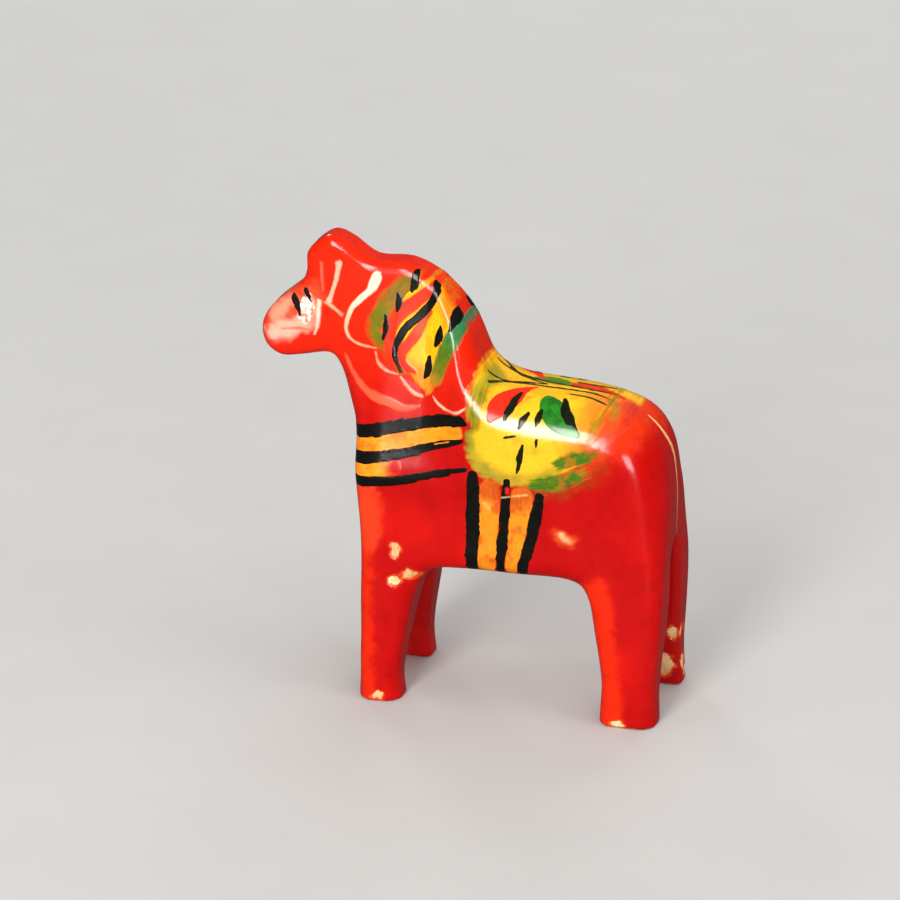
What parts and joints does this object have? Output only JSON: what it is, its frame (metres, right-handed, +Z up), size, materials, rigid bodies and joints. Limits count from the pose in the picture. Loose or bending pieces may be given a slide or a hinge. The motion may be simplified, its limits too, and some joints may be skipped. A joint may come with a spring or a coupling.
{
  "type": "painted wooden horse figurine",
  "caption": "Standing carved wooden horse with four flat soles, lacquered and brush-painted with saddle, girth, bridle and mane ornament.",
  "frame": {"origin": "centre of the bounding box on the ground plane, at the soles", "axes": "-Y towards the nose, +X towards the horse's left flank, +Z up"},
  "size_m": [0.0336, 0.0902, 0.0993],
  "materials": {
    "bare_pine": "satin",
    "red_lacquer": "gloss",
    "yellow_paint": "gloss",
    "ochre_paint": "gloss",
    "olive_paint": "gloss",
    "green_paint": "gloss",
    "dark_green_paint": "gloss",
    "crimson_paint": "gloss",
    "black_paint": "gloss",
    "pale_paint": "gloss",
    "pink_paint": "gloss",
    "white_paint": "gloss"
  },
  "bodies": {
    "root": {"carved_body": "bare_pine", "red_coat": "red_lacquer", "saddle_field": "yellow_paint", "saddle_vines": "dark_green_paint", "chest_ochre": "ochre_paint", "chest_bands": "black_paint", "tail_line": "pale_paint", "girth_ochre_left": "ochre_paint", "girth_ochre_right": "ochre_paint", "girth_lines_left": "black_paint", "girth_lines_right": "black_paint", "saddle_green_left": "green_paint", "saddle_green_right": "green_paint", "saddle_petal_left": "crimson_paint", "saddle_petal_right": "crimson_paint", "saddle_leaf_left": "green_paint", "saddle_leaf_right": "green_paint", "saddle_dabs_left": "black_paint", "saddle_dabs_right": "black_paint", "mane_field_left": "yellow_paint", "mane_field_right": "yellow_paint", "mane_olive_left": "olive_paint", "mane_olive_right": "olive_paint", "mane_red_left": "crimson_paint", "mane_red_right": "crimson_paint", "mane_green_left": "dark_green_paint", "mane_green_right": "dark_green_paint", "mane_black_left": "black_paint", "mane_black_right": "black_paint", "rein_left": "pale_paint", "rein_right": "pale_paint", "scallops_left": "pink_paint", "scallops_right": "pink_paint", "bridle_left": "pale_paint", "bridle_right": "pale_paint", "eye_white_left": "white_paint", "eye_white_right": "white_paint", "eye_black_left": "black_paint", "eye_black_right": "black_paint"}
  },
  "joints": []
}
